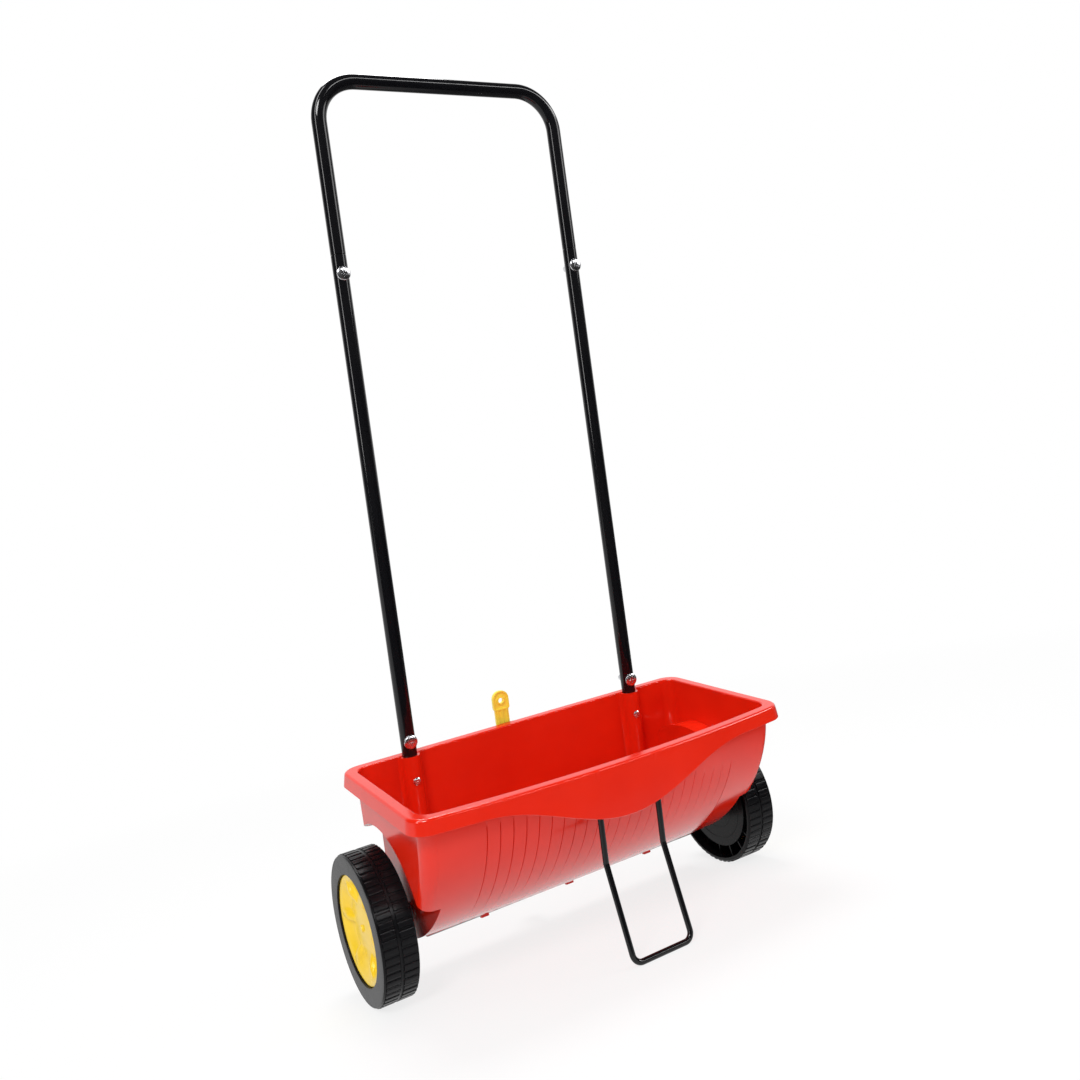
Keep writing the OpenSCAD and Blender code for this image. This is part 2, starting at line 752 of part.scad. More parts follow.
// The arm is fixed under the shutter and carries the lever's pin on its upturned ear
arm_y0 = outlet_l / 2 + 0.5;
arm_z = shutter_z + shutter_t;
arm_end = (ear_y + arm_t - outlet_y) / cos(outlet_slope);
rivet_y = 10.5;
rivet_r = 1.6;
rivet_xs = [lever_x - 5, lever_x + 5];
module shutter_arm() {
    color("lightgray") parked() {
        outlet_frame() difference() {
            translate([lever_x - arm_w / 2, arm_y0, arm_z]) cube([arm_w, arm_end - arm_y0, arm_t]);
            for (x = rivet_xs) translate([x, rivet_y, arm_z - 1]) cylinder(r = rivet_r, h = arm_t + 2);
        }
        difference() {
            translate([lever_x - arm_w / 2, ear_y, arm_pin_z - 14]) cube([arm_w, arm_t, 14 + arm_pin_r + 3]);
            translate([lever_x, 0, arm_pin_z]) along_y(arm_pin_r, ear_y - 1, ear_y + arm_t + 1);
            outlet_frame() translate([lever_x - arm_w, -arm_end, arm_z + arm_t - eps])
                cube([2 * arm_w, 3 * arm_end, arm_end]);
        }
    }
}

module arm_rivets() {
    color("silver") parked() outlet_frame() for (x = rivet_xs) translate([x, rivet_y, 0]) {
        translate([0, 0, shutter_z + 0.1]) cylinder(r = rivet_r - 0.05, h = shutter_t + arm_t);
        translate([0, 0, arm_z + arm_t + 0.02]) cylinder(r = 2 * rivet_r - 0.2, h = 1.2);
    }
}

module arm_pin() {
    color("silver") parked() translate([lever_x, 0, arm_pin_z])
        along_y(arm_pin_r - 0.02, ear_y - 0.5, lever_back - 0.3);
}

module axle() {
    reach = wheel_in + hub_out + push_cap_h - 1.2;
    color("silver") parked() translate([-reach, 0, 0]) rotate([0, 90, 0]) difference() {
        cylinder(r = axle_r, h = 2 * reach);
        translate([0, 0, reach - wheel_in - drive_pin_u]) rotate([90, 0, 0])
            cylinder(r = drive_pin_d / 2, h = 3 * axle_d, center = true);
    }
}
drive_pin_u = hub_in + 7;

module drive_pin() {
    color("silver") parked() wheel_frame(-1) translate([0, 0, drive_pin_u]) rotate([90, 0, 0])
        cylinder(r = drive_pin_d / 2 - 0.02, h = 2 * hub_r + 1, center = true);
}

// Agitator: a sleeve on the axle with a two-bladed paddle over every outlet
module agitator() {
    length = 2 * (arch_x - bush_boss - 6);
    sleeve_r = axle_r + 3;
    color("dimgray") parked() translate([-length / 2, 0, 0]) rotate([0, 90, 0]) difference() {
        union() {
            cylinder(r = sleeve_r, h = length);
            for (i = [0:outlet_count - 1])
                translate([0, 0, length / 2 + (i - (outlet_count - 1) / 2) * outlet_pitch])
                    rotate([0, 0, 90 * (i % 2)]) translate([-agitator_r, -4, -1.5])
                    cube([2 * agitator_r, 8, 3]);
        }
        translate([0, 0, -1]) cylinder(r = axle_r + 0.02, h = length + 2);
    }
}

// Tread: two rows of bars, set half a bar apart, that stand out of a plain ring
module tread_row(turn, u0, u1) {
    step = 360 / tread_bars;
    root = wheel_r - tyre_t + 2;
    rotate([0, 0, turn]) translate([0, 0, u0]) linear_extrude(u1 - u0) difference() {
        polygon([for (i = [0:tread_bars - 1]) each [
            wheel_r * unit((i - 0.36) * step), wheel_r * unit(i * step), wheel_r * unit((i + 0.36) * step),
            root * unit((i + 0.39) * step), root * unit((i + 0.61) * step)]]);
        circle(r = wheel_r - tyre_t + 1);
    }
}

// Wheel section turned about the axle: hub, disc, drum with the cap's seat, face and plain tyre
module wheel_section() {
    root = wheel_r - tread_depth;
    rotate_extrude() polygon([[wheel_r - tyre_t, 0], [root - 2, 0], [root, 2], [root, wheel_w - bevel],
        [wheel_r - bevel, wheel_w], [seat_r, wheel_w], [seat_r, seat_u], [seat_r - seat_ledge, seat_u],
        [seat_r - seat_ledge, disc_u + wall], [hub_r, disc_u + wall], [hub_r, hub_out],
        [axle_r + 0.1, hub_out], [axle_r + 0.1, hub_in], [hub_r, hub_in], [hub_r, disc_u],
        [drum_r, disc_u], [drum_r, wheel_w - web_t], [wheel_r - tyre_t, wheel_w - web_t]]);
}

module wheel(side) {
    crown = wheel_w / 2;
    color("#2a2a2e") parked() wheel_frame(side) difference() {
        union() {
            wheel_section();
            tread_row(0, 1.5, crown - 1);
            tread_row(180 / tread_bars, crown + 1, wheel_w - bevel - 0.5);
            wheel_spokes(wheel_ribs, drum_r - 1, wheel_r - tyre_t + 1, disc_u + 4, wheel_w - web_t + 1);
            wheel_spokes(6, hub_r - 1, seat_r, disc_u + 1, hub_out - 6);
        }
        for (k = [0:clip_count - 1]) rotate([0, 0, 45 + 360 * k / clip_count])
            translate([seat_r - 4, -clip_w / 2 - 1, clip_u - 1]) cube([wall + 5, clip_w + 2, clip_h + 2]);
        if (side < 0) translate([0, 0, drive_pin_u]) rotate([90, 0, 0])
            cylinder(r = drive_pin_d / 2, h = 3 * hub_r, center = true);
    }
}

// A ring between two radii and two distances from the wheel's inner face
module ring(r0, r1, u0, u1) {
    translate([0, 0, u0]) difference() {
        cylinder(r = r1, h = u1 - u0);
        translate([0, 0, -1]) cylinder(r = r0, h = u1 - u0 + 2);
    }
}

module wheel_spokes(count, r0, r1, u0, u1) {
    for (k = [0:count - 1]) rotate([0, 0, 360 * k / count])
        translate([r0, -1.2, u0]) cube([r1 - r0, 2.4, u1 - u0]);
}

// Hub cap: a shallow dish with a short skirt and four clips that hook into windows in the drum
module cap(side) {
    rim_u = wheel_w - cap_recess;
    dish = 9;
    skin = 2.4;
    color("gold") parked() wheel_frame(side) {
        rotate_extrude() polygon([[0, rim_u - dish], [cap_r - 14, rim_u - dish + 1],
            [cap_r - 6, rim_u - 0.6], [cap_r - 4, rim_u], [cap_r, rim_u - 1],
            [cap_r, seat_u + 0.1], [cap_r - 3, seat_u + 0.1],
            [cap_r - 3, rim_u - skin - 0.6], [cap_r - 13, rim_u - dish + 1 - skin],
            [0, rim_u - dish - skin]]);
        for (k = [0:clip_count - 1]) rotate([0, 0, 45 + 360 * k / clip_count]) {
            translate([cap_r - 4, -clip_w / 2, clip_u]) cube([2.2, clip_w, seat_u - clip_u + 2]);
            translate([cap_r - 4, -clip_w / 2, clip_u]) cube([6.4, clip_w, clip_h]);
        }
    }
}

// Plain washer on the axle between a wheel's hub and its bush
module washer(side) {
    color("silver") parked() wheel_frame(side)
        ring(axle_r + 0.15, washer_r, hub_in - washer_h - 0.2, hub_in - 0.2);
}

module push_cap(side) {
    color("silver") parked() wheel_frame(side) translate([0, 0, hub_out + 0.2]) difference() {
        cylinder(r = axle_r + 4, h = push_cap_h);
        translate([0, 0, -1]) cylinder(r = axle_r + 0.01, h = push_cap_h);
    }
}

hopper();
bush(-1);  // bush_left
bush(1);  // bush_right
lower_tube(-1);  // tube_left
lower_tube(1);  // tube_right
upper_handle();
joint_bolts();
joint_nuts();
base_bolts();
base_nuts();
socket_screws();
stand();
scale_plate();
scale_screws();
pivot_bolt();
spring_washer();
axle();
agitator();
drive_pin();
wheel(-1);  // wheel_left
cap(-1);  // cap_left
washer(-1);  // washer_left
push_cap(-1);  // push_cap_left
wheel(1);  // wheel_right
cap(1);  // cap_right
washer(1);  // washer_right
push_cap(1);  // push_cap_right
lever();
shutter();
shutter_arm();
arm_rivets();
arm_pin();
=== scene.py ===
# Drop spreader for lawns: a red moulded hopper on two black wheels, with a tall black tube
# handle, a wire stand and a yellow dosing lever. Pieces follow in the order of assembly.
import json
import math

import bmesh
import bpy
import numpy
from mathutils import Matrix


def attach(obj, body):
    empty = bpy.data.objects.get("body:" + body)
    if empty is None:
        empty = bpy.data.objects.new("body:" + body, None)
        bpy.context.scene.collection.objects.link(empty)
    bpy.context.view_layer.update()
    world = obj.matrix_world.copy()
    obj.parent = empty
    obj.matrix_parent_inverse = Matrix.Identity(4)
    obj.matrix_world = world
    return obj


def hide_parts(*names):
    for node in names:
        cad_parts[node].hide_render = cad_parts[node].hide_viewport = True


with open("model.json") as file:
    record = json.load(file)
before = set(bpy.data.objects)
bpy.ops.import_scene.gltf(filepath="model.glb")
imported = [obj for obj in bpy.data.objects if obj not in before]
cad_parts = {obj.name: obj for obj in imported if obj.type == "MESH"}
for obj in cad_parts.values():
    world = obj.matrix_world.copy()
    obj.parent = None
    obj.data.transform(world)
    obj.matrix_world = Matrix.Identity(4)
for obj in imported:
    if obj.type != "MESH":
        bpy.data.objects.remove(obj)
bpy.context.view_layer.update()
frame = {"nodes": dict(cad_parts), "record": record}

# Stance: the spreader is drawn in millimetres about its axle, X along the axle and the front
# towards -Y, and stands tipped forward on its wheels and its wire stand.
joints = {joint["name"]: joint for joint in frame["record"]["behaviour"]["joints"]}
axle_place = joints["axle_spin"]["pos_m"]
swing_axis = joints["lever_swing"]["axis"]
tip = math.atan2(swing_axis[2], swing_axis[1])
on_wheels = Matrix.Translation((0, axle_place[1], axle_place[2])) @ Matrix.Rotation(tip, 4, "X")
stance = on_wheels @ Matrix.Scale(0.001, 4)

# Camera: a plain photographic view from the front left, a little above the hopper.
camera_data = bpy.data.cameras.new("camera")
camera_data.sensor_width = 36.0
camera_data.lens = 33.585
camera_data.shift_x = -0.00129
camera_data.shift_y = -0.05405
camera_data.clip_end = 60.0
camera = bpy.data.objects.new("camera", camera_data)
bpy.context.collection.objects.link(camera)
yaw, pitch, roll = math.radians(-29.381), math.radians(3.181), math.radians(-7.209)
ahead = numpy.array([-math.sin(yaw) * math.cos(pitch), math.cos(yaw) * math.cos(pitch), -math.sin(pitch)])
level = numpy.array([math.cos(yaw), math.sin(yaw), 0.0])
over = numpy.cross(level, ahead)
across = level * math.cos(roll) + over * math.sin(roll)
upward = over * math.cos(roll) - level * math.sin(roll)
camera_pose = Matrix.Identity(4)
camera_place = (-0.689933, -1.300038, 0.637684)
for i in range(3):
    camera_pose[i] = (across[i], upward[i], -ahead[i], camera_place[i])
camera.matrix_world = on_wheels @ camera_pose
bpy.context.scene.camera = camera

# Hopper: one injection moulding in glossy red plastic, 3 mm thick, with a rolled rim, a front
# apron, fluted bands, wheel arches in both ends, closed pockets for the handle's tubes and a
# row of outlets in its floor. Everything else is fixed to it.
rim_half, rim_top, rim_back, rim_front = 296.0, 190.0, 90.0, 185.0
front_bow, overhang, wall = 24.0, 16.0, 3.0
corner_r, corner_shrink = 26.0, 0.4
floor_back, floor_drop, curve_top, curve_power = 35.0, 47.0, 165.0, 1.6
draft = math.tan(math.radians(1.25))
shell_top, room_top, seam_z = 187.5, 200.0, 180.0
flute_count, flute_pitch, flute_step = 22, 18.0, 1.5
flute_half = flute_count * flute_pitch / 2
ramp_share, ramp_depth, groove_depth, groove_half = 0.95, 0.65, 0.75, 0.045
lip_depth, apron_depth, apron_half, lip_flare = 20.0, 70.0, 205.0, 3.0
arch_x, arch_r, arch_end = 248.0, 127.0, 320.0
leg_x, leg_y, leg_lean, leg_bore = 193.5, 67.7, 1.2, 11.15
leg_tilt = Matrix.Rotation(math.radians(-leg_lean), 4, "X")
leg_frames = {side: Matrix.Translation((side * leg_x, leg_y, rim_top)) @ leg_tilt for side in (-1, 1)}
along_x = Matrix.Rotation(math.radians(90), 4, "Y")
along_y = Matrix.Rotation(math.radians(-90), 4, "X")


def smooth(t):
    t = min(max(t, 0.0), 1.0)
    return t * t * (3 - 2 * t)


def arc(cx, cy, r, start, end, steps):
    turn = [math.radians(start + (end - start) * i / steps) for i in range(steps + 1)]
    return [(cx + r * math.cos(a), cy + r * math.sin(a)) for a in turn]


def solid(name, corners, faces, place=None):
    mesh = bpy.data.meshes.new(name)
    mesh.from_pydata([tuple(c) for c in corners], [], faces)
    if place:
        mesh.transform(place)
    shape = bmesh.new()
    shape.from_mesh(mesh)
    bmesh.ops.remove_doubles(shape, verts=shape.verts, dist=1e-4)
    bmesh.ops.recalc_face_normals(shape, faces=shape.faces)
    shape.to_mesh(mesh)
    shape.free()
    obj = bpy.data.objects.new(name, mesh)
    bpy.context.collection.objects.link(obj)
    return obj


def woven(name, rows, ring=False, place=None):
    n, m = len(rows), len(rows[0])
    faces = [(i * m + j, i * m + (j + 1) % m, (i + 1) % n * m + (j + 1) % m, (i + 1) % n * m + j)
             for i in range(n if ring else n - 1) for j in range(m)]
    if not ring:
        faces += [tuple(range(m)), tuple(range((n - 1) * m, n * m))]
    return solid(name, [c for row in rows for c in row], faces, place)


def prism(name, outline, low, high, place=None):
    return woven(name, [[(x, y, low) for x, y in outline], [(x, y, high) for x, y in outline]], False, place)


def rod(name, r, low, high, place, turns=48):
    return prism(name, arc(0, 0, r, 0, 360 - 360 / turns, turns - 1), low, high, place)


def block(name, low, high, place=None):
    outline = [(low[0], low[1]), (high[0], low[1]), (high[0], high[1]), (low[0], high[1])]
    return prism(name, outline, low[2], high[2], place)


def carve(body, cuts):
    for how, tool in cuts:
        step = body.modifiers.new(tool.name, "BOOLEAN")
        step.operation, step.object, step.solver = how, tool, "MANIFOLD"
    made = bpy.data.meshes.new_from_object(body.evaluated_get(bpy.context.evaluated_depsgraph_get()))
    body.modifiers.clear()
    body.data = made
    for how, tool in cuts:
        bpy.data.objects.remove(tool)
    return body


def settle(obj, material, body, nodes, angle=32):
    mesh = obj.data
    mesh.transform(stance)
    mesh.shade_smooth()
    mesh.set_sharp_from_angle(angle=math.radians(angle))
    obj.modifiers.new("even_shading", "WEIGHTED_NORMAL").keep_sharp = True
    mesh.materials.clear()
    mesh.materials.append(material)
    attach(obj, body)
    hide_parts(*nodes)


def corner(inset):
    return corner_r - corner_shrink * inset


def step_in(x, inset):
    r = corner(inset)
    past = abs(x) - (rim_half - inset) + r
    return 0.0 if past <= 0 else r - math.sqrt(max(0.0, r * r - past * past))


def front_y(x, inset):
    return -(rim_front + front_bow * (1 - (x / rim_half) ** 2) - inset - step_in(x, inset))


def back_y(x, inset):
    return rim_back - inset - step_in(x, inset)


def flute(x, y, z):
    along = (x + flute_half) / flute_pitch
    if not -0.05 < along < flute_count:
        return 0.0
    part = along - math.floor(along)
    ramp = 1 - part / ramp_share if part < ramp_share else smooth((part - ramp_share) / (1 - ramp_share))
    groove = max(0.0, 1 - abs(part - round(part)) / groove_half)
    depth = ramp_depth * ramp + groove_depth * groove
    start = curve_top - 36 * smooth((x - 80) / 70)
    return flute_step * depth * smooth((start - z) / 15) * smooth((-y - 12) / 25)


def tub_row(x, inset, top, fluted):
    low = curve_top + floor_drop - (inset - overhang)
    reach = floor_back - front_y(x, inset)
    back = back_y(x, inset) - floor_back
    bend = rim_back - floor_back - inset
    power = 2 / curve_power
    line = [(floor_back - reach, top + (curve_top - top) * i / 4) for i in range(4)]
    for i in range(45):
        t = math.radians(90 * i / 44)
        sunk = curve_top - low * math.sin(t) ** power
        line.append((floor_back - reach * max(math.cos(t), 0) ** power, sunk))
    for i in range(1, 13):
        t = math.radians(90 * i / 12)
        line.append((floor_back + back * math.sin(t), curve_top - low + bend * (1 - math.cos(t))))
    foot = line[-1][1]
    line += [(floor_back + back, foot + (top - foot) * i / 6) for i in range(1, 7)]
    if fluted:
        way = numpy.gradient(numpy.array(line), axis=0)
        way /= numpy.linalg.norm(way, axis=1)[:, None]
        for i, (y, z) in enumerate(line[:49]):
            depth = flute(x, y, z)
            line[i] = (y - depth * way[i][1], z + depth * way[i][0])
    return [(x * (1 - draft * (rim_top - z) / (rim_half - overhang)), y, z) for y, z in line]


def tub(name, inset, top, fluted):
    half, r = rim_half - inset, corner(inset)
    turn = [half - r + r * math.sin(math.radians(a)) for a in range(90, 0, -9)]
    edge = half - r
    if fluted:
        shares = (0, 0.015, 0.045, 0.25, 0.5, 0.75, 0.945, 0.965, 0.985)
        marks = [-0.05, -0.03, -0.015] + [k + share for k in range(flute_count) for share in shares]
        gap = edge - flute_half
        middle = [-edge + gap * i / 5 for i in range(5)]
        middle += [m * flute_pitch - flute_half for m in marks]
        middle += [flute_half + gap * i / 5 for i in range(6)]
    else:
        middle = [edge * i / 24 for i in range(-24, 25)]
    stations = [-x for x in turn] + middle + turn[::-1]
    return woven(name, [tub_row(x, inset, top, fluted) for x in stations])


def rim_profile(drop):
    inner = overhang + wall
    edge_r, lip_r, mouth_r, skirt_r, root_r = 3.5, 1.5, 2, 4, 3
    face = [(lip_flare + edge_r, rim_top)]
    for i in range(1, 7):
        a = math.radians(15 * i)
        depth = edge_r * (1 - math.cos(a))
        face.append((lip_flare + edge_r - edge_r * math.sin(a) - lip_flare * depth / drop, rim_top - depth))
    face += [(lip_flare * (1 - d / drop), rim_top - d) for d in (9.0, drop - lip_r)]
    for i in range(1, 7):
        a = math.radians(30 * i)
        face.append((lip_r - lip_r * math.cos(a), rim_top - drop + lip_r - lip_r * math.sin(a)))
    face += [(wall + lip_flare * (1 - d / drop), rim_top - d) for d in (max(drop - 6, 9.0), 8.0)]
    face += arc(lip_flare + wall + skirt_r, rim_top - wall - skirt_r, skirt_r, 180, 90, 5)
    face += arc(overhang - root_r, rim_top - wall - root_r, root_r, 90, 0, 5)
    face += [(overhang - 0.05, seam_z), (inner + 0.05, seam_z)]
    face += arc(inner + 0.05 - mouth_r, rim_top - mouth_r, mouth_r, 0, 90, 6)
    return face


def rim():
    def around(way):
        turn = [(1, a) for a in range(9, 91, 9)]
        line = [(-s, a) for s, a in turn[::-1]] + [(i / 64, 0) for i in range(-64, 65)] + turn
        return [(s, math.radians(a), way) for s, a in line]
    rows = []
    for s, a, way in around(-1) + around(1)[::-1]:
        def at(inset):
            r = corner(inset)
            x = s * (rim_half - inset - r + r * math.sin(a))
            return x, front_y(x, inset) if way < 0 else back_y(x, inset)
        x = at(0)[0]
        swell = (apron_depth - lip_depth) * (1 + math.cos(math.pi * min(abs(x) / apron_half, 1))) / 2
        rows.append([(*at(inset), z) for inset, z in rim_profile(lip_depth + (swell if way < 0 else 0))])
    return woven("rim", rows, True)


def leg_pocket(side):
    outer, fillet, top, foot, dome = 14.15, 6.0, -1.6, -132, 14
    inside, outside = wall + 0.3, 2 * wall + 0.3
    reach = outer + fillet
    low_x = math.sqrt(reach ** 2 - (inside - fillet) ** 2)
    high_x = math.sqrt(reach ** 2 - (outside + fillet) ** 2)
    low_a = math.degrees(math.atan2(inside - fillet, low_x))
    high_a = math.degrees(math.atan2(outside + fillet, high_x))
    right = arc(0, 0, outer, -90, low_a, 14) + arc(low_x, inside - fillet, fillet, 180 + low_a, 90, 6)[1:]
    right += arc(high_x, outside + fillet, fillet, 270, 180 + high_a, 5) + arc(0, 0, outer, high_a, 90, 8)[1:]
    outline = right + [(-x, y) for x, y in right[-2:0:-1]]
    middle = inside + 1.5
    rows = []
    for z in [top, -60] + [foot - dome * math.sin(math.radians(a)) for a in range(0, 90, 9)]:
        k = math.sqrt(max(0.03, 1 - ((foot - z) / (dome + 0.2)) ** 2)) if z < foot else 1.0
        rows.append([(k * x, middle + k * (y - middle), z) for x, y in outline])
    return woven("pocket", rows, False, leg_frames[side])


stand_x, stand_y, stand_top, stand_bore, post_r, post_foot = 46.0, -199.42, 180, 4.15, 6.95, 129
lever_x, pivot_z, lever_y, boss_r = -24.0, -26.0, 98.0, 8
lever_place = Matrix.Translation((lever_x, 0, pivot_z))
bearing_r, bearing_bore = 12, 8
outlet_y, outlet_z, outlet_slope = 9.0, -42.8692, 14.2987
outlet_tilt = Matrix.Rotation(math.radians(-outlet_slope), 4, "X")
outlet_frame = Matrix.Translation((0, outlet_y, outlet_z)) @ outlet_tilt @ Matrix.Diagonal((1, 1, -1, 1))
outlet_pitch, outlet_half_x, outlet_half_y = 22.0, 4.5, 7
outlets = [(i - 9.5) * outlet_pitch for i in range(20)]
pad_half_x, pad_half_y = 232, 16
scale_r, scale_boss_r = 188.5, 4.5

room = carve(tub("room", overhang + wall, room_top, False), [
    ("DIFFERENCE", rod("bulge", arch_r + wall, side * (arch_x - wall), side * 300, along_x, 160))
    for side in (-1, 1)])
cuts = [("DIFFERENCE", rod("arch", arch_r, side * arch_x, side * arch_end, along_x, 160)) for side in (-1, 1)]
cuts += [("DIFFERENCE", room), ("UNION", rim())]
cuts += [("UNION", leg_pocket(side)) for side in (-1, 1)]
for side in (-1, 1):
    post = Matrix.Translation((side * stand_x, stand_y, 0))
    cuts.append(("UNION", rod("post", post_r, post_foot, 188.2, post)))
    cuts.append(("UNION", block("web", (-wall, 0, 141), (wall, 8.5, 187.9), post)))
    cuts.append(("UNION", rod("bearing", bearing_r, side * (arch_x - 7), side * (arch_x - 0.3), along_x)))
cuts.append(("UNION", rod("boss", boss_r, 67, lever_y - 0.4, lever_place @ along_y)))
for angle in (-12, 13):
    way = math.radians(angle)
    point = Matrix.Translation((lever_x + scale_r * math.sin(way), 0, pivot_z + scale_r * math.cos(way)))
    cuts.append(("UNION", rod("scale_boss", scale_boss_r, 72.5, 91, point @ along_y, 24)))
cuts.append(("UNION", block("outlet_pad", (-pad_half_x, -pad_half_y, -wall), (pad_half_x, pad_half_y, 0.8),
                            outlet_frame)))
for x in (-142, 0, 142):
    for way in (-1, 1):
        lug = outlet_frame @ Matrix.Diagonal((1, way, 1, 1))
        cuts.append(("UNION", block("lug", (x - 6, 14.3, -wall), (x + 6, 17.3, 4.7), lug)))
        cuts.append(("UNION", block("hook", (x - 5.8, 11, 2.7), (x + 5.8, 17.1, 4.6), lug)))
for side in (-1, 1):
    post = Matrix.Translation((side * stand_x, stand_y, 0))
    cuts.append(("DIFFERENCE", rod("leg_bore", leg_bore, -105, 12, leg_frames[side])))
    cuts.append(("DIFFERENCE", rod("stand_bore", stand_bore, 100, stand_top, post)))
    cuts.append(("DIFFERENCE", rod("bearing_bore", bearing_bore, side * (arch_x - 9), side * (arch_x + 4),
                                   along_x)))
for x in outlets:
    low, high = (x - outlet_half_x, -outlet_half_y, -9), (x + outlet_half_x, outlet_half_y, 2)
    cuts.append(("DIFFERENCE", block("outlet", low, high, outlet_frame)))
hopper = carve(tub("hopper_shell", overhang, shell_top, True), cuts)


def node(tree, kind, values=(), **traits):
    made = tree.nodes.new(kind)
    for trait, value in traits.items():
        setattr(made, trait, value)
    for socket, value in dict(values).items():
        if isinstance(value, bpy.types.NodeSocket):
            tree.links.new(value, made.inputs[socket])
        else:
            made.inputs[socket].default_value = value
    return made


def maths(tree, operation, *values):
    return node(tree, "ShaderNodeMath", enumerate(values), operation=operation).outputs[0]


def ranged(tree, value, start, end, low=0.0, high=1.0):
    return node(tree, "ShaderNodeMapRange", {"Value": value, "From Min": start, "From Max": end,
                                             "To Min": low, "To Max": high}).outputs["Result"]


def effect(name, takes, gives):
    tree = bpy.data.node_groups.new(name, "ShaderNodeTree")
    for socket, kind in takes:
        tree.interface.new_socket(socket, in_out="INPUT", socket_type="NodeSocket" + kind)
    for socket, kind in gives:
        tree.interface.new_socket(socket, in_out="OUTPUT", socket_type="NodeSocket" + kind)
    return tree, tree.nodes.new("NodeGroupInput").outputs, tree.nodes.new("NodeGroupOutput").inputs


def toned(tree, takes, gives, share):
    mixed = node(tree, "ShaderNodeMix", {"Factor": share}, data_type="RGBA")
    tree.links.new(takes["Colour"], mixed.inputs[6])
    tree.links.new(takes["Shade"], mixed.inputs[7])
    tree.links.new(mixed.outputs[2], gives["Colour"])


# Moulded or enamelled skin: slow changes of tone, uneven gloss and a fine grain in the surface
moulded_skin, takes, gives = effect(
    "moulded_skin",
    [("Colour", "Color"), ("Shade", "Color"), ("Grain", "Float"), ("Roughness", "Float"),
     ("Unevenness", "Float")],
    [("Colour", "Color"), ("Roughness", "Float"), ("Height", "Float")])
place = node(moulded_skin, "ShaderNodeTexCoord").outputs["Object"]
clouds = node(moulded_skin, "ShaderNodeTexNoise", {"Vector": place, "Scale": 9.0, "Detail": 3.0})
flow = node(moulded_skin, "ShaderNodeTexNoise",
            {"Vector": place, "Scale": 60.0, "Detail": 4.0, "Distortion": 0.6}).outputs["Fac"]
grain = node(moulded_skin, "ShaderNodeTexNoise", {"Vector": place, "Scale": takes["Grain"], "Detail": 2.0})
toned(moulded_skin, takes, gives, ranged(moulded_skin, clouds.outputs["Fac"], 0.35, 0.7))
spread = maths(moulded_skin, "SUBTRACT", flow, 0.5)
uneven = maths(moulded_skin, "MULTIPLY_ADD", spread, takes["Unevenness"], takes["Roughness"])
moulded_skin.links.new(uneven, gives["Roughness"])
waves = maths(moulded_skin, "MULTIPLY_ADD", flow, 0.35, grain.outputs["Fac"])
moulded_skin.links.new(waves, gives["Height"])


def surfaced(name, effect_tree, settings, bump, bump_height):
    material = bpy.data.materials.new(name)
    material.use_nodes = True
    tree = material.node_tree
    shader = tree.nodes["Principled BSDF"]
    skin = node(tree, "ShaderNodeGroup", node_tree=effect_tree)
    for socket, value in settings.items():
        skin.inputs[socket].default_value = value
    raised = node(tree, "ShaderNodeBump",
                  {"Height": skin.outputs["Height"], "Strength": bump, "Distance": bump_height})
    tree.links.new(skin.outputs["Colour"], shader.inputs["Base Color"])
    tree.links.new(skin.outputs["Roughness"], shader.inputs["Roughness"])
    tree.links.new(raised.outputs["Normal"], shader.inputs["Normal"])
    return material, shader.inputs


def skinned(name, colour, shade, grain, roughness, unevenness, bump, coat=0.0, ior=1.5):
    material, inputs = surfaced(name, moulded_skin, {
        "Colour": (*colour, 1), "Shade": (*shade, 1), "Grain": grain, "Roughness": roughness,
        "Unevenness": unevenness}, bump, 0.0002)
    inputs["IOR"].default_value = ior
    inputs["Coat Weight"].default_value = coat
    inputs["Coat Roughness"].default_value = 0.08
    return material


def dress(material, *names):
    for name in names:
        frame["nodes"][name].material_slots[0].material = material


hopper_red = skinned("hopper_red", (0.80, 0.020, 0.005), (0.73, 0.016, 0.004), 1400.0, 0.14, 0.08, 0.06,
                     ior=1.48)
settle(hopper, hopper_red, "root", ["hopper"])

# Bushes: dark grey plastic bearings, moulded as plain sleeves and pressed into the arches' inner
# walls, where the axle turns. The lever's spring washer has the same dark grey.
bush_grey = skinned("bush_grey", (0.10, 0.10, 0.11), (0.08, 0.08, 0.09), 1100.0, 0.45, 0.12, 0.25)
dress(bush_grey, "bush_left", "bush_right", "spring_washer")

# Tubes and stand: steel tube and wire with a glossy black enamel, bent before they were coated.
# The upper handle's drawn ends slide into the lower tubes; the stand is pushed into its posts.
enamel_black = skinned("enamel_black", (0.004, 0.004, 0.005), (0.006, 0.006, 0.007), 500.0, 0.10, 0.06, 0.08,
                       coat=0.1, ior=1.38)
dress(enamel_black, "tube_left", "tube_right", "upper_handle", "stand")

# Zinc-plated steel: bolts, domed nuts, screws, rivets, washers, push caps, axle and pins, all
# turned or cold-headed and then plated. The shutter and its arm are cut from galvanised sheet.
plated_metal, takes, gives = effect(
    "plated_metal",
    [("Colour", "Color"), ("Shade", "Color"), ("Crystals", "Float"), ("Roughness", "Float")],
    [("Colour", "Color"), ("Roughness", "Float"), ("Height", "Float")])
place = node(plated_metal, "ShaderNodeTexCoord").outputs["Object"]
crystals = node(plated_metal, "ShaderNodeTexVoronoi", {"Vector": place, "Scale": takes["Crystals"]})
scratches = node(plated_metal, "ShaderNodeTexNoise",
                 {"Vector": place, "Scale": 700.0, "Detail": 4.0}).outputs["Fac"]
toned(plated_metal, takes, gives, crystals.outputs["Color"])
uneven = maths(plated_metal, "MULTIPLY_ADD", scratches, 0.2, takes["Roughness"])
plated_metal.links.new(uneven, gives["Roughness"])
plated_metal.links.new(scratches, gives["Height"])


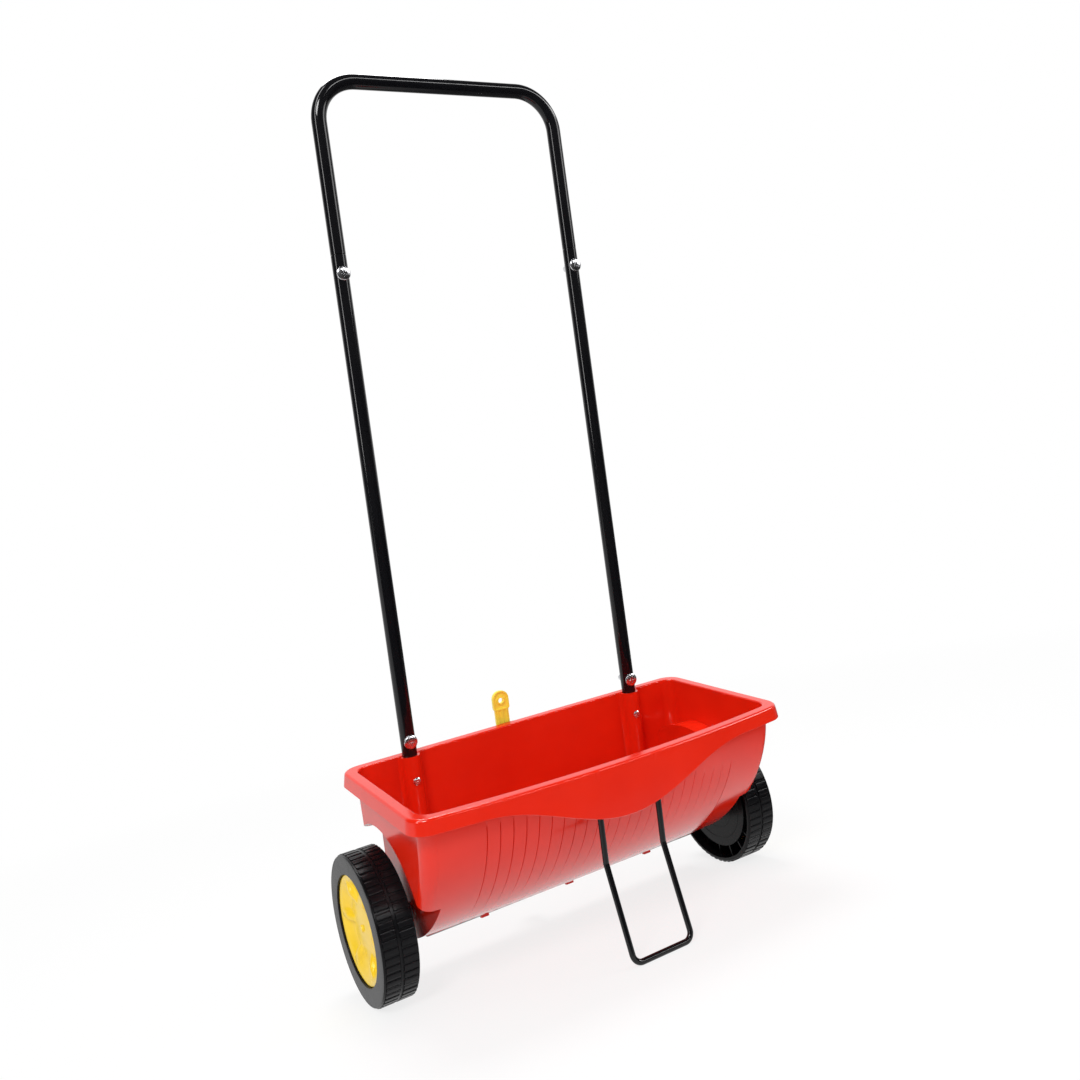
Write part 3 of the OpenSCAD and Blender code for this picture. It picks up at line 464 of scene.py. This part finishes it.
def plated(name, colour, shade, crystals, roughness, bump):
    material, inputs = surfaced(name, plated_metal, {
        "Colour": (*colour, 1), "Shade": (*shade, 1), "Crystals": crystals,
        "Roughness": roughness}, bump, 0.0001)
    inputs["Metallic"].default_value = 1.0
    return material


zinc = plated("zinc", (0.78, 0.78, 0.80), (0.66, 0.67, 0.70), 900.0, 0.16, 0.15)
dress(zinc, "joint_bolts", "joint_nuts", "base_bolts", "base_nuts", "socket_screws", "scale_screws",
      "pivot_bolt", "axle", "drive_pin", "washer_left", "washer_right", "push_cap_left", "push_cap_right",
      "arm_rivets", "arm_pin")
galvanised = plated("galvanised", (0.60, 0.61, 0.62), (0.48, 0.49, 0.51), 160.0, 0.28, 0.10)
dress(galvanised, "shutter", "shutter_arm")

# Scale: a darker red moulded band behind the rim, screwed to two bosses. The lever's neck
# passes over it and it shows how far the outlets are open.
scale_red = skinned("scale_red", (0.42, 0.022, 0.012), (0.36, 0.018, 0.010), 1200.0, 0.36, 0.12, 0.15)
dress(scale_red, "scale_plate")

# Agitator: a grey plastic sleeve fixed on the axle, with a paddle over every outlet that keeps
# the grains moving. It is one moulding.
agitator_grey = skinned("agitator_grey", (0.06, 0.06, 0.065), (0.045, 0.045, 0.05), 900.0, 0.42, 0.14, 0.25)
dress(agitator_grey, "agitator")

# Wheels: hollow black plastic mouldings. Each has a plain face, a tread of two staggered rows
# of low bars with a double parting line between them, a disc with a hub, and ribs behind the
# tyre. They turn about the axle; the left one is pinned to it.
wheel_in, wheel_w = 276.0, 50.0
tread_r, tread_bars, tread_height = 98.4, 56, 1.6
drum_r, recess_r, ledge_r, ledge_u = 76.3, 73.3, 71.8, 42.0
disc_in, disc_out, inner_r = 8.0, 11.0, 93.0
hub_r, hub_bore, hub_in, hub_out = 14.0, 5.1, -24.2, 29.0
wheel_ribs, rib_t = 18, 1.2
wheel_frames = {side: Matrix.Diagonal((side, 1, 1, 1)) @ Matrix.Translation((wheel_in, 0, 0)) @ along_x
                for side in (-1, 1)}


def tread_mask(part):
    off = abs(part - round(part))
    return 1.0 if off <= 0.30 else 0.8 if off <= 0.341 else 0.0


def wheel_profile():
    def plain(points):
        return [(r, u, "") for r, u in points]
    line = plain([(inner_r, 0.5), (93.5, 0.0), (96.2, 0.0), (97.3, 0.4), (98.1, 1.1), (tread_r, 1.9),
                  (tread_r, 2.0)])
    line += [(tread_r, u, "A") for u in (2.15, 7, 13, 18, 22.3)]
    line += plain([(tread_r, 22.6), (tread_r, 22.8), (99.2, 23.0), (99.2, 23.5), (98.6, 23.7), (98.6, 26.3),
                   (99.2, 26.5), (99.2, 27.0), (tread_r, 27.2)])
    line += [(tread_r, u, "B") for u in (27.7, 34, 40, 46.6)]
    line += plain([(tread_r, 46.9), (tread_r, 47.3), (98.9, 47.5), (98.9, 48.1), (tread_r, 48.3),
                   (tread_r, 49.0), (98.1, 49.7), (97.5, wheel_w), (96.0, wheel_w), (95.6, 49.8),
                   (95.2, wheel_w), (74.2, wheel_w), (73.6, 49.7), (recess_r, 49.0), (recess_r, ledge_u),
                   (ledge_r, ledge_u), (ledge_r, disc_out), (hub_r, disc_out), (hub_r, hub_out),
                   (hub_bore, hub_out), (hub_bore, hub_in), (13.4, hub_in), (hub_r, -23.5), (hub_r, 6.8),
                   (15.2, disc_in)])
    for r in (31, 46, 63):
        line += plain([(r - 0.9, disc_in), (r - 0.5, 7.5), (r + 0.5, 7.5), (r + 0.9, disc_in)])
    return line + plain([(75.1, disc_in), (75.9, 8.3), (drum_r, 9.0), (drum_r, 46.5), (inner_r, 46.5)])


def gathered(body, parts):
    shape = bmesh.new()
    for part in [body] + parts:
        shape.from_mesh(part.data)
    shape.to_mesh(body.data)
    shape.free()
    for part in parts:
        bpy.data.objects.remove(part)
    return body


def wheel(side):
    profile = wheel_profile()
    marks = (0, 0.10, 0.16, 0.20, 0.25, 0.30, 0.34, 0.40, 0.5, 0.60, 0.66, 0.70, 0.75, 0.80, 0.84, 0.90)
    rows = []
    for bar in range(tread_bars):
        for f in marks:
            a = 2 * math.pi * (bar + f) / tread_bars
            lift = {"": 0.0, "A": tread_height * tread_mask(f), "B": tread_height * tread_mask(f + 0.5)}
            lifted = [(r + lift[row], u) for r, u, row in profile]
            rows.append([(r * math.cos(a), r * math.sin(a), u) for r, u in lifted])
    turn = [wheel_frames[side] @ Matrix.Rotation(math.radians(a), 4, "Z") for a in range(0, 360, 5)]
    windows = [("DIFFERENCE", block("window", (69.3, -4.5, 16), (78, 4.5, 21), turn[9 + 18 * k]))
               for k in range(4)]
    body = carve(woven("wheel", rows, True, wheel_frames[side]), windows)
    return gathered(body, [block("rib", (75.5, -rib_t, 12), (93.6, rib_t, 47), turn[4 * k])
                           for k in range(wheel_ribs)])


wheel_black = skinned("wheel_black", (0.005, 0.005, 0.006), (0.008, 0.008, 0.009), 1300.0, 0.26, 0.10, 0.12,
                      ior=1.23)
for side, name, body in ((-1, "left", "axle_set"), (1, "right", "right_wheel")):
    made = wheel(side)
    made.name = "tyre_and_hub_" + name
    settle(made, wheel_black, body, ["wheel_" + name])

# Hub caps: yellow dished covers, moulded with a low ring, soft gussets round the wall and a
# small peg in the middle. Four clips snap them into the wheel.
cap_rim, cap_floor, cap_r = 47.0, 38.0, 73.0
dome_r, dome_rise, wall_r, wall_rise = 46, 2.6, 66.5, 8.2
peg_r, peg_rise, gusset_r, gusset_turn = 5.2, 2.4, 26, 12


def cap_height(r, a):
    if r <= dome_r:
        u = cap_floor + dome_rise * math.cos(math.pi * r / (2 * dome_r))
    elif r <= wall_r:
        share = (r - dome_r) / (wall_r - dome_r)
        u = cap_floor + wall_rise * (0.45 * smooth(share) + 0.55 * share ** 1.5)
    else:
        u = cap_floor + wall_rise + 0.8 * math.sin(math.pi * min((r - wall_r) / 5.0, 1.0) / 2)
    peg = peg_rise * smooth((peg_r - r) / 1.4)
    turn = (a / (math.pi / 3)) % 1.0 - 0.5
    wedge = max(0.0, 1 - abs(turn) * 60 / gusset_turn)
    gusset = wall_rise * smooth(wedge * 1.3) * smooth((r - gusset_r) / 26) if r < wall_r else 0.0
    return min(max(u + peg, min(cap_floor + gusset, cap_floor + wall_rise)), cap_rim)


def cap(side):
    radii = [0, 2, 3.8, 4.6, 5.2, 9, 14, 20, 26, 29, 32, 35, 38, 41, 43, 44.5, 46, 47.5, 49, 51, 53, 55, 57,
             59, 61, 62.5, 64, 65.2, 66.4, 67.5, 68.5, 69.6, 71]
    under = [(72.2, 46.8), (72.8, 46.2), (cap_r, 45.4), (cap_r, 42.1), (70.0, 42.1), (70.0, 44.0),
             (50.0, 35.7), (0, 35.7)]
    rows = []
    for i in range(180):
        a = 2 * math.pi * i / 180
        line = [(r, cap_height(r, a)) for r in radii] + under
        rows.append([(r * math.cos(a), r * math.sin(a), u) for r, u in line])
    clip = [(69.0, 17.0), (74.2, 17.0), (75.4, 18.2), (75.4, 20.0), (71.2, 20.0), (71.2, 43.6), (69.0, 43.6)]
    upright = Matrix.Rotation(math.radians(90), 4, "X")
    turn = [wheel_frames[side] @ Matrix.Rotation(math.radians(45 + 90 * k), 4, "Z") for k in range(4)]
    return gathered(woven("cap", rows, True, wheel_frames[side]),
                    [prism("clip", clip, -3.5, 3.5, at @ upright) for at in turn])


cap_yellow = skinned("cap_yellow", (0.96, 0.66, 0.016), (0.94, 0.62, 0.014), 1000.0, 0.25, 0.10, 0.08)
for side, name, body in ((-1, "left", "axle_set"), (1, "right", "right_wheel")):
    made = cap(side)
    made.name = "hub_cover_" + name
    settle(made, cap_yellow, body, ["cap_" + name], 40)

# Lever: a flat yellow moulding on a shoulder bolt behind the hopper. Its head has a raised
# border round an eye, its neck has three ribs, and its foot has a slot for the shutter's pin.
lever_t, rib_h, lever_length, lever_crank = 4.0, 1.2, 263.0, 32.0
head_w, head_h, border_w, foot_r = 27.0, 30.0, 2.5, 9
eye_r, ring_r, pivot_r, bolt_bore, slot_r = 4.25, 6.65, 12, 3.03, 2.85
neck_half, rib_half = 11.5, 1.2
shoulder = lever_length - head_h
flat = Matrix.Translation((lever_x, lever_y + lever_t, pivot_z)) @ Matrix.Rotation(math.radians(90), 4, "X")
at_eye = flat @ Matrix.Translation((0, lever_length - head_h / 2, 0))
at_foot = flat @ Matrix.Translation((0, -lever_crank, 0))


def head_outline(inset):
    half, low, high = head_w / 2 - inset, shoulder + inset, lever_length - inset
    line = []
    top = head_w / 2 - 1
    for x, z, r, start in ((1, high, top, 0), (-1, high, top, 90), (-1, low, 4, 180), (1, low, 4, 270)):
        r -= inset
        cz = z - r if z == high else z + r
        line += arc(x * (half - r), cz, r, start, start + 90, 8)
    return line


neck = [(-neck_half, 40), (-neck_half, shoulder + 2), (neck_half, shoulder + 2), (neck_half, 40), (pivot_r, 0),
        (foot_r, -lever_crank), (-foot_r, -lever_crank), (-pivot_r, 0)]
raised = (lever_t - 0.5, lever_t + rib_h)
border = carve(prism("border", head_outline(0.01), *raised, flat),
               [("DIFFERENCE", prism("inside", head_outline(border_w), lever_t - 1, lever_t + 3, flat))])
slot = [(slot_r * math.cos(a), -lever_crank + (0.5 if a < math.pi else -2.55) + slot_r * math.sin(a))
        for a in [math.pi * i / 12 for i in range(25)]]
cuts = [("UNION", prism("head", head_outline(0), 0, lever_t, flat)),
        ("UNION", rod("foot", foot_r, 0, lever_t, at_foot)),
        ("UNION", rod("pivot", pivot_r, 0, lever_t, flat)),
        ("UNION", border),
        ("UNION", rod("eye_ring", ring_r, *raised, at_eye))]
for x in (-7.5, 0, 7.5):
    low, high = (x - rib_half, 45, raised[0]), (x + rib_half, shoulder + 1, raised[1])
    cuts.append(("UNION", block("rib", low, high, flat)))
cuts += [("DIFFERENCE", rod("eye", eye_r, -1, 8, at_eye)),
         ("DIFFERENCE", rod("bore", bolt_bore, -1, 8, flat)),
         ("DIFFERENCE", prism("slot", slot, -1, 8, flat))]
lever = carve(prism("dosing_lever", neck, 0, lever_t, flat), cuts)
lever_yellow = skinned("lever_yellow", (1.0, 0.86, 0.090), (0.99, 0.82, 0.080), 1000.0, 0.30, 0.10, 0.08)
settle(lever, lever_yellow, "lever", ["lever"])

# Studio: a pale floor that keeps the spreader's shadow. In reflections the floor is bright near
# the spreader and fades towards the dark front and the right, where no paper lies.
floor_half = 14
corners = [(x * floor_half, y * floor_half, 0) for x, y in ((-1, -1), (1, -1), (1, 1), (-1, 1))]
floor = solid("floor", corners, [(0, 1, 2, 3)])
floor_white = bpy.data.materials.new("floor_white")
floor_white.use_nodes = True
tree = floor_white.node_tree
tree.nodes.remove(tree.nodes["Principled BSDF"])
rays = node(tree, "ShaderNodeLightPath")
ground = node(tree, "ShaderNodeTexCoord").outputs["Object"]
mirrored = maths(tree, "MAXIMUM", rays.outputs["Is Glossy Ray"], rays.outputs["Is Transmission Ray"])
far = node(tree, "ShaderNodeVectorMath", {0: ground}, operation="LENGTH").outputs["Value"]
seen = maths(tree, "MULTIPLY", rays.outputs["Is Camera Ray"], ranged(tree, far, 0.7, 2.6, 0.80, 1.0))
axes = node(tree, "ShaderNodeSeparateXYZ", {0: ground}).outputs
lit = maths(tree, "MULTIPLY", ranged(tree, axes["Y"], -0.56, -0.24, 0.04, 0.90),
            ranged(tree, axes["X"], 0.36, 0.62, 1.0, 0.15))
share = maths(tree, "MAXIMUM", seen, mirrored)
matt = node(tree, "ShaderNodeBsdfDiffuse", {"Color": (0.86, 0.86, 0.86, 1)})
shine = ranged(tree, mirrored, 0, 1, 1.0, lit)
glow = node(tree, "ShaderNodeEmission", {"Color": (1, 1, 1, 1), "Strength": shine})
both = node(tree, "ShaderNodeMixShader", {0: share, 1: matt.outputs[0], 2: glow.outputs[0]})
tree.links.new(both.outputs[0], tree.nodes["Material Output"].inputs["Surface"])
floor.data.materials.append(floor_white)

# Surround: white to the camera and even for plain light. In reflections it is white behind the
# spreader and dark in front, with a tall narrow light on the left and a low wide one in front.
world = bpy.data.worlds.new("surround")
bpy.context.scene.world = world
world.use_nodes = True
tree = world.node_tree
rays = node(tree, "ShaderNodeLightPath")
way = node(tree, "ShaderNodeTexCoord").outputs["Generated"]


def along(line):
    return node(tree, "ShaderNodeVectorMath", {0: way, 1: line}, operation="DOT_PRODUCT").outputs["Value"]


backdrop = ranged(tree, along((0.33, 0.90, -0.28)), 0.12, 0.50, 0.06, 1.0)
narrow = ranged(tree, maths(tree, "ABSOLUTE", along((-0.336, 0.942, 0.0))), 0.05, 0.09, 9.0, 0.0)
leftward = maths(tree, "GREATER_THAN", along((-0.942, -0.336, 0.0)), 0.3)
tall_light = maths(tree, "MULTIPLY_ADD", narrow, leftward, backdrop)
axes = node(tree, "ShaderNodeSeparateXYZ", {0: way}).outputs
low_band = maths(tree, "MULTIPLY", maths(tree, "COMPARE", axes["Z"], 0.42, 0.05),
                 maths(tree, "LESS_THAN", axes["Y"], -0.2))
low_band = maths(tree, "MULTIPLY", low_band, maths(tree, "GREATER_THAN", axes["X"], 0.12))
shown = maths(tree, "MULTIPLY_ADD", low_band, 11.0, tall_light)
mirrored = maths(tree, "MAXIMUM", rays.outputs["Is Glossy Ray"], rays.outputs["Is Transmission Ray"])
strength = maths(tree, "MAXIMUM", rays.outputs["Is Camera Ray"], ranged(tree, mirrored, 0, 1, 0.48, shown))
tree.links.new(strength, tree.nodes["Background"].inputs["Strength"])
tree.nodes["Background"].inputs["Color"].default_value = (1, 1, 1, 1)


# Lamps: three large soft discs, the strongest from the front left
def lamp(name, at, to, size, watts):
    light = bpy.data.lights.new(name, "AREA")
    light.shape, light.size, light.energy = "DISK", size, watts
    obj = bpy.data.objects.new(name, light)
    obj.location = at
    way = Matrix.Translation(to).translation - obj.location
    obj.rotation_euler = way.to_track_quat("-Z", "Y").to_euler()
    bpy.context.collection.objects.link(obj)


lamp("key", (-2.2, -2.4, 2.9), (0, 0, 0.3), 1.3, 80)
lamp("fill", (2.6, -1.8, 1.8), (0, 0, 0.4), 1.4, 20)
lamp("top", (0.3, 0.9, 3.2), (0, 0, 0.3), 1.4, 52)
bpy.context.scene.view_settings.view_transform = "Standard"
